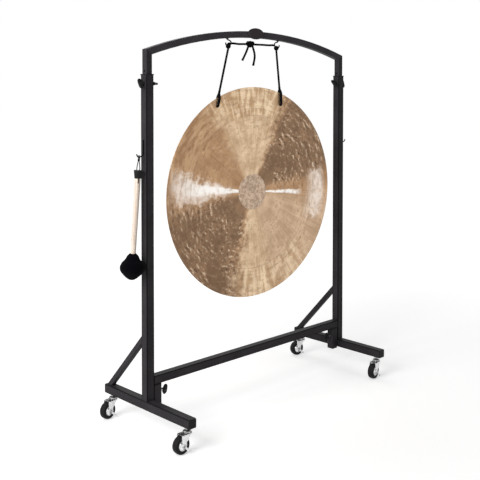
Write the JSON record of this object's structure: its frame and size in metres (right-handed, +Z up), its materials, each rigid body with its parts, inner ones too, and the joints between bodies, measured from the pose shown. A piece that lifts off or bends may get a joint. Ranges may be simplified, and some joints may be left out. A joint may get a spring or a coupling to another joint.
{
  "type": "rolling gong stand",
  "caption": "Rolling steel gong stand with a height-adjustable arched top, a hanging bronze gong, a mallet on a side hook and braked swivel casters.",
  "frame": {"origin": "on the floor, midway between the two feet and halfway along them", "axes": "+X to the right across the width, +Y to the rear, +Z up; the badge faces -Y"},
  "size_m": [1.4782, 0.592, 1.7865],
  "materials": {
    "black_coat": "semi-gloss black powder coat",
    "black_plastic": "moulded black",
    "black_wire": "black coated wire",
    "badge_finish": "bare black oval plate",
    "bronze": "hammered bronze with mottled patina",
    "black_cord": "woven black cord",
    "pale_wood": "bare turned maple",
    "black_fleece": "black fleece",
    "zinc": "bright zinc plate",
    "tyre_rubber": "hard black rubber"
  },
  "bodies": {
    "frame": {"left_foot": "black_coat", "right_foot": "black_coat", "left_front_foot_cap": "black_plastic", "left_rear_foot_cap": "black_plastic", "right_front_foot_cap": "black_plastic", "right_rear_foot_cap": "black_plastic", "left_post": "black_coat", "right_post": "black_coat", "left_collar": "black_plastic", "right_collar": "black_plastic", "left_brace": "black_coat", "right_brace": "black_coat", "crossbar": "black_coat", "left_mallet_hook": "black_wire", "right_mallet_hook": "black_wire", "front_left_caster_stem": "zinc", "rear_left_caster_stem": "zinc", "front_right_caster_stem": "zinc", "rear_right_caster_stem": "zinc"},
    "arch": {"arch_bow": "black_coat", "left_arch_leg": "black_coat", "right_arch_leg": "black_coat", "badge": "badge_finish", "left_gong_hook": "black_wire", "right_gong_hook": "black_wire", "gong_cord_run": "black_cord"},
    "gong": {"gong": "bronze", "left_gong_cord": "black_cord", "right_gong_cord": "black_cord"},
    "mallet": {"mallet_loop": "black_cord", "mallet_sleeve": "black_plastic", "mallet_handle": "pale_wood", "mallet_head": "black_fleece"},
    "left_outer_wing_bolt": {"left_outer_wing_bolt": "black_plastic"},
    "left_inner_wing_bolt": {"left_inner_wing_bolt": "black_plastic"},
    "left_base_wing_bolt": {"left_base_wing_bolt": "black_plastic"},
    "right_outer_wing_bolt": {"right_outer_wing_bolt": "black_plastic"},
    "right_inner_wing_bolt": {"right_inner_wing_bolt": "black_plastic"},
    "right_base_wing_bolt": {"right_base_wing_bolt": "black_plastic"},
    "front_left_swivel": {"front_left_caster_fork": "zinc", "front_left_caster_axle": "zinc"},
    "front_left_wheel": {"front_left_caster_tyre": "tyre_rubber", "front_left_caster_hub": "zinc"},
    "front_left_brake": {"front_left_caster_brake": "zinc"},
    "rear_left_swivel": {"rear_left_caster_fork": "zinc", "rear_left_caster_axle": "zinc"},
    "rear_left_wheel": {"rear_left_caster_tyre": "tyre_rubber", "rear_left_caster_hub": "zinc"},
    "rear_left_brake": {"rear_left_caster_brake": "zinc"},
    "front_right_swivel": {"front_right_caster_fork": "zinc", "front_right_caster_axle": "zinc"},
    "front_right_wheel": {"front_right_caster_tyre": "tyre_rubber", "front_right_caster_hub": "zinc"},
    "front_right_brake": {"front_right_caster_brake": "zinc"},
    "rear_right_swivel": {"rear_right_caster_fork": "zinc", "rear_right_caster_axle": "zinc"},
    "rear_right_wheel": {"rear_right_caster_tyre": "tyre_rubber", "rear_right_caster_hub": "zinc"},
    "rear_right_brake": {"rear_right_caster_brake": "zinc"}
  },
  "joints": [
    {"name": "arch_height", "type": "slide", "parent": "frame", "child": "arch", "axis": [0, 0, 1], "range_m": [-0.05, 0.2]},
    {"name": "gong_swing", "type": "hinge", "parent": "arch", "child": "gong", "pos_m": [0, 0, 1.69614], "axis": [1, 0, 0], "range_deg": [-30, 30]},
    {"name": "mallet_swing", "type": "hinge", "parent": "frame", "child": "mallet", "pos_m": [-0.69, 0, 1.207], "axis": [1, 0, 0], "range_deg": [-45, 45]},
    {"name": "left_outer_wing_bolt_turn", "type": "hinge", "parent": "frame", "child": "left_outer_wing_bolt", "pos_m": [-0.6653, 0, 1.521], "axis": [-1, 0, 0], "continuous": true},
    {"name": "left_inner_wing_bolt_turn", "type": "hinge", "parent": "frame", "child": "left_inner_wing_bolt", "pos_m": [-0.6247, 0, 1.521], "axis": [1, 0, 0], "continuous": true},
    {"name": "left_base_wing_bolt_turn", "type": "hinge", "parent": "frame", "child": "left_base_wing_bolt", "pos_m": [-0.566, 0, 0.1705], "axis": [1, 0, 0], "continuous": true},
    {"name": "right_outer_wing_bolt_turn", "type": "hinge", "parent": "frame", "child": "right_outer_wing_bolt", "pos_m": [0.6653, 0, 1.521], "axis": [1, 0, 0], "continuous": true},
    {"name": "right_inner_wing_bolt_turn", "type": "hinge", "parent": "frame", "child": "right_inner_wing_bolt", "pos_m": [0.6247, 0, 1.521], "axis": [-1, 0, 0], "continuous": true},
    {"name": "right_base_wing_bolt_turn", "type": "hinge", "parent": "frame", "child": "right_base_wing_bolt", "pos_m": [0.566, 0, 0.1705], "axis": [-1, 0, 0], "continuous": true},
    {"name": "front_left_swivel_turn", "type": "hinge", "parent": "frame", "child": "front_left_swivel", "pos_m": [-0.645, -0.26, 0.084], "axis": [0, 0, 1], "continuous": true},
    {"name": "front_left_wheel_spin", "type": "hinge", "parent": "front_left_swivel", "child": "front_left_wheel", "pos_m": [-0.678, -0.26, 0.038], "axis": [0, 1, 0], "continuous": true},
    {"name": "front_left_brake_press", "type": "hinge", "parent": "front_left_swivel", "child": "front_left_brake", "pos_m": [-0.678, -0.26, 0.038], "axis": [0, 1, 0], "range_deg": [-25, 0]},
    {"name": "rear_left_swivel_turn", "type": "hinge", "parent": "frame", "child": "rear_left_swivel", "pos_m": [-0.645, 0.26, 0.084], "axis": [0, 0, 1], "continuous": true},
    {"name": "rear_left_wheel_spin", "type": "hinge", "parent": "rear_left_swivel", "child": "rear_left_wheel", "pos_m": [-0.67768, 0.25541, 0.038], "axis": [-0.1392, 0.9903, 0], "continuous": true},
    {"name": "rear_left_brake_press", "type": "hinge", "parent": "rear_left_swivel", "child": "rear_left_brake", "pos_m": [-0.67768, 0.25541, 0.038], "axis": [-0.1392, 0.9903, 0], "range_deg": [-25, 0]},
    {"name": "front_right_swivel_turn", "type": "hinge", "parent": "frame", "child": "front_right_swivel", "pos_m": [0.645, -0.26, 0.084], "axis": [0, 0, 1], "continuous": true},
    {"name": "front_right_wheel_spin", "type": "hinge", "parent": "front_right_swivel", "child": "front_right_wheel", "pos_m": [0.6125, -0.26573, 0.038], "axis": [-0.1736, 0.9848, 0], "continuous": true},
    {"name": "front_right_brake_press", "type": "hinge", "parent": "front_right_swivel", "child": "front_right_brake", "pos_m": [0.6125, -0.26573, 0.038], "axis": [-0.1736, 0.9848, 0], "range_deg": [-25, 0]},
    {"name": "rear_right_swivel_turn", "type": "hinge", "parent": "frame", "child": "rear_right_swivel", "pos_m": [0.645, 0.26, 0.084], "axis": [0, 0, 1], "continuous": true},
    {"name": "rear_right_wheel_spin", "type": "hinge", "parent": "rear_right_swivel", "child": "rear_right_wheel", "pos_m": [0.61261, 0.2663, 0.038], "axis": [0.1908, 0.9816, 0], "continuous": true},
    {"name": "rear_right_brake_press", "type": "hinge", "parent": "rear_right_swivel", "child": "rear_right_brake", "pos_m": [0.61261, 0.2663, 0.038], "axis": [0.1908, 0.9816, 0], "range_deg": [-25, 0]}
  ]
}
